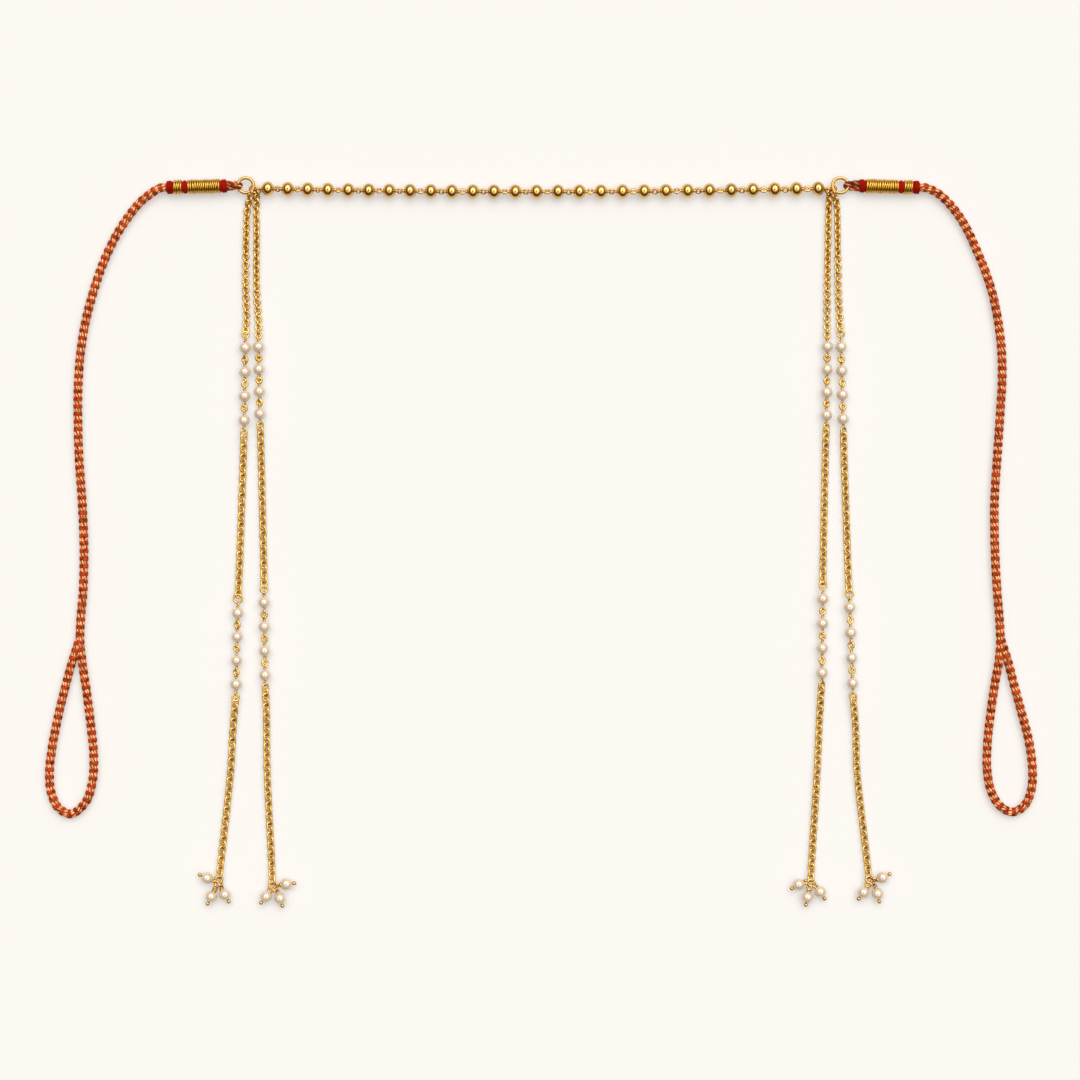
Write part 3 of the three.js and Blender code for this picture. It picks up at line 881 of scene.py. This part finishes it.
class FOREHEAD_OT_chains(bpy.types.Operator):
    """Fine chains of round links, each link turned across the next"""

    bl_idname = "forehead.chains"
    bl_label = "Chains"

    def execute(self, context):
        sizes = context.scene.band_sizes
        wanted = Ring(sizes.chain_link / MM, sizes.chain_wire / MM)
        tight_link = model_ring(wanted, straight=CHAIN_STRAIGHT)
        slack_link = model_ring(wanted, straight=SLACK_STRAIGHT)
        tight = sizes.chain_link + CHAIN_STRAIGHT * MM - 2 * sizes.chain_wire
        slack = SLACK_PITCH * MM
        for number, strand in enumerate(STRANDS):
            upper_top, upper_foot = row_ends(strand["upper"], sizes)
            lower_top, lower_foot = row_ends(strand["lower"], sizes)
            last_ring = on_surface(strand["end"], sizes.pearl / 2)
            hook = hook_link(strand)[0]
            for level, start, end, via, link, pitch, turned in (
                ("upper", hook, upper_top, strand["upper_via"], slack_link, slack, FLAT_FROM[strand["hook"]]),
                ("middle", upper_foot, lower_top, (), tight_link, tight, None),
                ("lower", lower_foot, last_ring, (strand["lower_via"],), tight_link, tight, None),
            ):
                between = [on_surface(point, CHAIN_Z * MM) for point in via]
                chain = Assembly(f"{strand['name']}_links_{level}", ["chain_gold"], number + 40)
                add_links(chain, link, start, end, between, pitch, turned, sizes)
                chain.build("gold", f"{strand['name']}_chain_{level}")
        return {"FINISHED"}


def add_row(piece, shapes, row, sizes):
    bead, eye, neck, small = shapes
    first, last = (on_surface(pearl, sizes.pearl / 2) for pearl in (row.first, row.last))
    down = (last - first).normalized()
    across = down.cross(UP)
    for i in range(PEARLS_IN_A_ROW):
        centre = first.lerp(last, i / (PEARLS_IN_A_ROW - 1))
        uneven = Matrix.Diagonal((*piece.random.uniform(0.965, 1.03, 3), 1))
        piece.add(bead, place(centre, UP, down) @ uneven, slot=1)
        for way in (-down, down):
            lean = piece.random.uniform(-1.0, 1.0)
            piece.add(neck, place(centre + way * (sizes.pearl / 2 - TUCKED * MM), way, UP))
            eye_centre = centre + way * (sizes.pearl / 2 + ROW_EYE_OUT * MM)
            piece.add(eye, place(eye_centre, way, aim(across, UP, lean)))
        if i:
            lean = piece.random.uniform(-0.5, 0.5)
            piece.add(small, place((centre + previous) / 2, down, aim(UP, across, lean)))
        previous = centre
    for centre, size in zip(row_ends(row, sizes), (row.ring, row.foot)):
        if size:
            normal = aim(UP, ALONG_X, piece.random.uniform(-0.3, 0.3))
            piece.add(model_ring(Ring(size, ROW_RING_WIRE), 24, 8), place(centre, -down, normal))


class FOREHEAD_OT_pearl_rows(bpy.types.Operator):
    """Rows of four pearls, each with a wrapped wire eye at both sides and a small ring between two eyes"""

    bl_idname = "forehead.pearl_rows"
    bl_label = "Rows of pearls"

    def execute(self, context):
        sizes = context.scene.band_sizes
        bead = model_bead(sizes.pearl, PEARL_HOLE * MM, 28, 18)
        eye = model_ring(ROW_EYE, 14, 7)
        neck = model_winding(**ROW_NECK, steps=12, sides=5)
        small = model_ring(SMALL_RING, 20, 8)
        rows = [(strand, level) for strand in STRANDS for level in ("upper", "lower")]
        for seed, (strand, level) in enumerate(rows, 61):
            piece = Assembly(f"{strand['name']}_pearl_row_{level}", ["chain_gold", "lustrous_pearl"], seed)
            add_row(piece, (bead, eye, neck, small), strand[level], sizes)
            piece.build("pearl", f"{strand['name']}_pearls_{level}")
        return {"FINISHED"}


def add_drop(piece, shapes, middle, headwards, centre, lean, sizes):
    bead, head, eye = shapes
    uneven = Matrix.Diagonal((*piece.random.uniform(0.97, 1.04, 3), 1))
    piece.add(bead, place(middle, UP, headwards) @ uneven, slot=1)
    reach = (sizes.pearl + PIN_HEAD * MM) / 2 - TUCKED * MM
    piece.add(head, place(middle + headwards * reach, UP, headwards))
    leaves = middle - headwards * (sizes.pearl / 2 - 0.2 * MM)
    away = (leaves - centre).normalized()
    on_ring = centre + away * (DROP_RING.outside - DROP_RING.wire) / 2 * MM
    eye_centre = on_ring + away * DROP_EYE_OUT * MM
    piece.add(eye, place(eye_centre, away, aim(UP, away.cross(UP), lean)))
    meets = eye_centre + away * DROP_NECK_OUT * MM
    neck = leaves - meets
    length = neck.dot(away) / MM
    if length > 0.3:
        wrapped = model_winding(**DROP_NECK, length=length + 0.2, steps=12, sides=5)
        piece.add(wrapped, place(meets, neck, neck.cross(UP).cross(neck)))


class FOREHEAD_OT_drop_pearls(bpy.types.Operator):
    """Three pearls on ball-headed pins, hung from the last ring of each chain"""

    bl_idname = "forehead.drop_pearls"
    bl_label = "Drop pearls"

    def execute(self, context):
        sizes = context.scene.band_sizes
        bead = model_bead(sizes.pearl, DROP_HOLE * MM, 28, 18)
        head = model_bead(PIN_HEAD * MM, PIN_HOLE * MM, 14, 10)
        ring = model_ring(DROP_RING, 24, 8)
        eye = model_ring(DROP_EYE, 16, 7)
        for number, strand in enumerate(STRANDS):
            piece = Assembly(f"{strand['name']}_drops", ["polished_gold", "lustrous_pearl"], 80 + number)
            centre = on_surface(strand["end"], sizes.pearl / 2)
            piece.add(ring, place(centre, ALONG_Y, Vector((0.12, 0.1, 1))))
            for (point, pin), lean in zip(strand["drops"], DROP_EYE_LEANS):
                middle = on_surface(point, sizes.pearl / 2)
                headwards = aim(ALONG_X, ALONG_Y, math.radians(pin))
                add_drop(piece, (bead, head, eye), middle, headwards, centre, lean, sizes)
            piece.build("pearl", f"{strand['name']}_drop_pearls")
        return {"FINISHED"}


class FOREHEAD_OT_cord_eyes(bpy.types.Operator):
    """The cord's own fold through each end ring, its two legs side by side"""

    bl_idname = "forehead.cord_eyes"
    bl_label = "Cord eyes"

    def execute(self, context):
        radius = (END_RING.outside - END_RING.wire) / 2
        leg_end = WHIPPING_START + 0.6
        foot = radius + EYE_BEND + 0.5
        turns = np.linspace(0.35, math.pi - 0.35, 5)
        fold = [(radius - EYE_BEND * math.sin(a), 0.35 * math.cos(a), EYE_BEND * math.cos(a)) for a in turns]
        upper_leg = [(leg_end, 0.95, 0.8), (foot, 0.75, 1.1)]
        lower_leg = [(foot, -0.75, -1.0), (leg_end, -0.95, -0.5)]
        step = 0.2 * MM
        route = smooth_route(np.array([*upper_leg, *fold, *lower_leg]) * MM, step)
        along = unit(np.gradient(route, axis=0))
        out = unit(np.cross(along, ALONG_Y))
        flat = np.cross(out, along)
        gone = np.arange(len(route)) * step
        for name, side in SIDES:
            eye = Assembly(f"folded_eye_{name}", ["rust_strand", "cream_strand"], 90 + side)
            for k in range(EYE_STRANDS):
                angle = 2 * math.pi * (k / EYE_STRANDS + gone / (EYE_LAY * MM))
                offset = np.cos(angle)[:, None] * flat * 0.62 * MM + np.sin(angle)[:, None] * out * 0.34 * MM
                cream = k % 3 == 0
                shape = swept(route + offset, out, (0.58 if cream else 0.8) * MM, 0.62 * MM, 8)
                eye.add(shape, whipping_place(side), slot=int(cream))
            eye.build("braid", f"cord_eye_{name}")
        return {"FINISHED"}


class FOREHEAD_OT_whippings(bpy.types.Operator):
    """Red thread wound over each bound end, with gold wire wound over two stretches of it"""

    bl_idname = "forehead.whippings"
    bl_label = "Whippings"

    def execute(self, context):
        core = model_core(WHIPPING_CORE * MM, (WHIPPING_END - WHIPPING_START - 2 * CORE_INSET) * MM)
        for name, side in SIDES:
            thread = Assembly(f"red_whipping_{name}", ["red_thread"], 100 + side)
            thread.add(core, whipping_place(side, WHIPPING_START + CORE_INSET))
            start = WHIPPING_START
            for length, winding in WHIPPING:
                here = whipping_place(side, start)
                if winding:
                    piece = Assembly(f"gold_{winding}_{name}", ["wound_gold"], 110 + side)
                    piece.add(model_winding(WINDING_HEIGHT / 2, GOLD_WIRE, length, slant=0.2), here)
                    piece.build("wound_wire", f"{winding}_{name}")
                else:
                    thread.add(model_winding(COLLAR_HEIGHT / 2, RED_THREAD, length), here)
                start += length
            thread.build("thread", f"thread_whipping_{name}")
        return {"FINISHED"}


def cord_route(name, side, sizes):
    """The tie cord's centreline: level out of the whipping, down onto the surface, and round its loop."""
    tilt = math.radians(WHIPPING_TILT)
    leaving = Vector((side * math.cos(tilt), -math.sin(tilt), 0))
    exit_point = whipping_place(side).translation + leaving * (WHIPPING_END + CORD_GAP) * MM
    points = [exit_point - leaving * 0.9 * MM, exit_point, exit_point + leaving * CORD_STRAIGHT * MM]
    for point in CORD_ROUTES[name]:
        flat = on_surface(point, exit_point.z)
        settled = min(1, (flat - exit_point).length / (CORD_SETTLES * MM))
        flat.z = exit_point.z + (sizes.cord / 2 - exit_point.z) * settled
        points.append(flat)
    return smooth_route(points, 0.4 * MM)


def braid(name, route, sizes):
    """The rust strands turn one way and the cream ones the other, over one and under the next."""
    cord = Assembly(f"braided_cord_{name}", ["rust_strand", "cream_strand"], 7)
    along = unit(np.gradient(route, axis=0))
    across = unit(np.cross(UP, along))
    over = np.cross(along, across)
    steps = np.arange(len(route))
    gone = steps / STEPS_IN_A_LAY
    twist = math.pi * 3 / 8 + 0.6 * np.sin(gone * 0.8) + 0.4 * np.sin(gone * 0.37 + 1)
    left = (len(route) - 1 - steps) * sizes.braid_lay / STEPS_IN_A_LAY
    taper = np.clip(left / (7 * MM), 0, 1)
    taper = 0.55 + 0.45 * taper * (2 - taper)
    middle = sizes.cord / 2 - (WEAVE + RUST["thick"] / 2) * MM
    cord.add(swept(route, over, middle * 1.7 * taper, middle * 1.7 * taper, 8))
    for slot, way, strand in ((0, 1, RUST), (1, -1, CREAM)):
        for k in range(STRANDS_EACH_WAY):
            angle = way * 2 * math.pi * gone + 2 * math.pi * k / STRANDS_EACH_WAY
            woven = strand["lift"] + way * WEAVE * np.cos(STRANDS_EACH_WAY * angle)
            radius = (middle + woven * MM) * taper
            strays = 0.09 * np.sin(gone * 6 + k * 2.1 + way) + 0.07 * np.sin(gone * 15 + k * 1.3)
            turned = angle + twist + strays
            outwards = np.cos(turned)[:, None] * across + np.sin(turned)[:, None] * over
            centres = route + outwards * radius[:, None]
            shape = swept(centres, outwards, strand["wide"] * MM * taper, strand["thick"] * MM * taper)
            cord.add(shape, slot=slot)
    return cord


class FOREHEAD_OT_tie_cords(bpy.types.Operator):
    """Round braided cords of rust and cream strands, each ending in a loop"""

    bl_idname = "forehead.tie_cords"
    bl_label = "Tie cords"

    def execute(self, context):
        sizes = context.scene.band_sizes
        for name, side in SIDES:
            route = cord_route(name, side, sizes)
            cord = braid(name, evenly(route, sizes.braid_lay / STEPS_IN_A_LAY), sizes)
            piece = cord.build("braid", f"tie_cord_{name}")
            path = evenly(route, 2 * MM)
        return {"FINISHED"}


# Stage

VIEW_CENTRE = (-1.08, 0.65)
VIEW_WIDTH = 388.8
LENS = 100
SENSOR = 36

# The light tent, its edges given as heights on a unit ball
TENT_AXIS = (0.1, 0.3, 1)
TENT_EDGE = (0.44, 0.6)
TENT_LIGHT = 0.72
TENT_CORE = (0.74, 0.84)
TENT_CORE_LIGHT = 3.0
TENT_HOLE = (0.935, 0.96)
TENT_HOLE_LIGHT = 0.05
ROOM_COLOUR = (0.12, 0.066, 0.03)
HORIZON_LIGHT = 0.45


def add_light_tent(scene):
    """A round tent of soft light, brighter at the top of the picture, with a hole for the camera."""
    world = bpy.data.worlds.new("light_tent")
    world.use_nodes = True
    shader = Shader(world.node_tree)
    towards = shader.node("ShaderNodeTexCoord", output=0)
    upwards = shader.node("ShaderNodeSeparateXYZ", sockets={0: towards}, output=2)
    sockets = {0: towards, 1: Vector(TENT_AXIS).normalized()}
    leaning = shader.node("ShaderNodeVectorMath", {"operation": "DOT_PRODUCT"}, sockets, output=1)
    tent = shader.ramp(leaning, TENT_EDGE, (0, TENT_LIGHT))
    core = shader.ramp(leaning, TENT_CORE, (0, TENT_CORE_LIGHT))
    hole = shader.ramp(upwards, TENT_HOLE, (1, TENT_HOLE_LIGHT))
    horizon = shader.ramp(upwards, (0.02, 0.08), (HORIZON_LIGHT, 0))
    light = (tent + core) * hole + horizon
    background = world.node_tree.nodes["Background"]
    shader.put(background.inputs["Color"], shader.mix(light, ROOM_COLOUR, (1, 0.985, 0.965)))
    shader.put(background.inputs["Strength"], light.math("MAXIMUM", 1.0))
    scene.world = world


def add_camera(scene):
    data = bpy.data.cameras.new("camera")
    data.lens = LENS
    data.sensor_width = SENSOR
    data.clip_start = 0.01
    camera = bpy.data.objects.new("camera", data)
    camera.location = on_surface(VIEW_CENTRE, VIEW_WIDTH * LENS / SENSOR * MM)
    scene.collection.objects.link(camera)
    scene.camera = camera


def add_ground():
    select_none()
    bpy.ops.mesh.primitive_grid_add(x_subdivisions=12, y_subdivisions=12, size=4)
    ground = bpy.context.object
    ground.name = "pale_ground"
    choose(ground, lambda centre: abs(centre.x) > 1.6 or abs(centre.y) > 1.6)
    bpy.ops.transform.translate(value=(0, 0, -0.02))
    bpy.ops.object.mode_set(mode="OBJECT")
    ground.data.materials.append(finish("pale_ground"))


class FOREHEAD_OT_stage(bpy.types.Operator):
    """Pale ground, soft light from above and the camera"""

    bl_idname = "forehead.stage"
    bl_label = "Ground, light and camera"

    def execute(self, context):
        scene = context.scene
        scene.view_settings.view_transform = "Standard"
        add_camera(scene)
        add_ground()
        add_light_tent(scene)
        return {"FINISHED"}


class FOREHEAD_PT_panel(bpy.types.Panel):
    bl_idname = "FOREHEAD_PT_panel"
    bl_label = "Forehead band"
    bl_space_type = "VIEW_3D"
    bl_region_type = "UI"
    bl_category = "Forehead band"

    def draw(self, context):
        layout = self.layout
        for group in (context.scene.band_sizes, context.scene.band_colours):
            for name in group.__annotations__:
                layout.prop(group, name)
        for operator in OPERATORS:
            layout.operator(operator.bl_idname)


OPERATORS = (
    FOREHEAD_OT_stage,
    FOREHEAD_OT_tie_cords,
    FOREHEAD_OT_whippings,
    FOREHEAD_OT_cord_eyes,
    FOREHEAD_OT_end_joints,
    FOREHEAD_OT_string_of_balls,
    FOREHEAD_OT_chains,
    FOREHEAD_OT_pearl_rows,
    FOREHEAD_OT_drop_pearls,
)
CLASSES = (BandSizes, BandColours, *OPERATORS, FOREHEAD_PT_panel)


def register():
    for cls in CLASSES:
        bpy.utils.register_class(cls)
    bpy.types.Scene.band_sizes = PointerProperty(type=BandSizes)
    bpy.types.Scene.band_colours = PointerProperty(type=BandColours)


def unregister():
    del bpy.types.Scene.band_colours
    del bpy.types.Scene.band_sizes
    for cls in reversed(CLASSES):
        bpy.utils.unregister_class(cls)


def main():
    register()
    bpy.ops.forehead.stage()
    bpy.ops.forehead.tie_cords()
    bpy.ops.forehead.whippings()
    bpy.ops.forehead.cord_eyes()
    bpy.ops.forehead.end_joints()
    bpy.ops.forehead.string_of_balls()
    bpy.ops.forehead.chains()
    bpy.ops.forehead.pearl_rows()
    bpy.ops.forehead.drop_pearls()


if __name__ == "__main__":
    main()
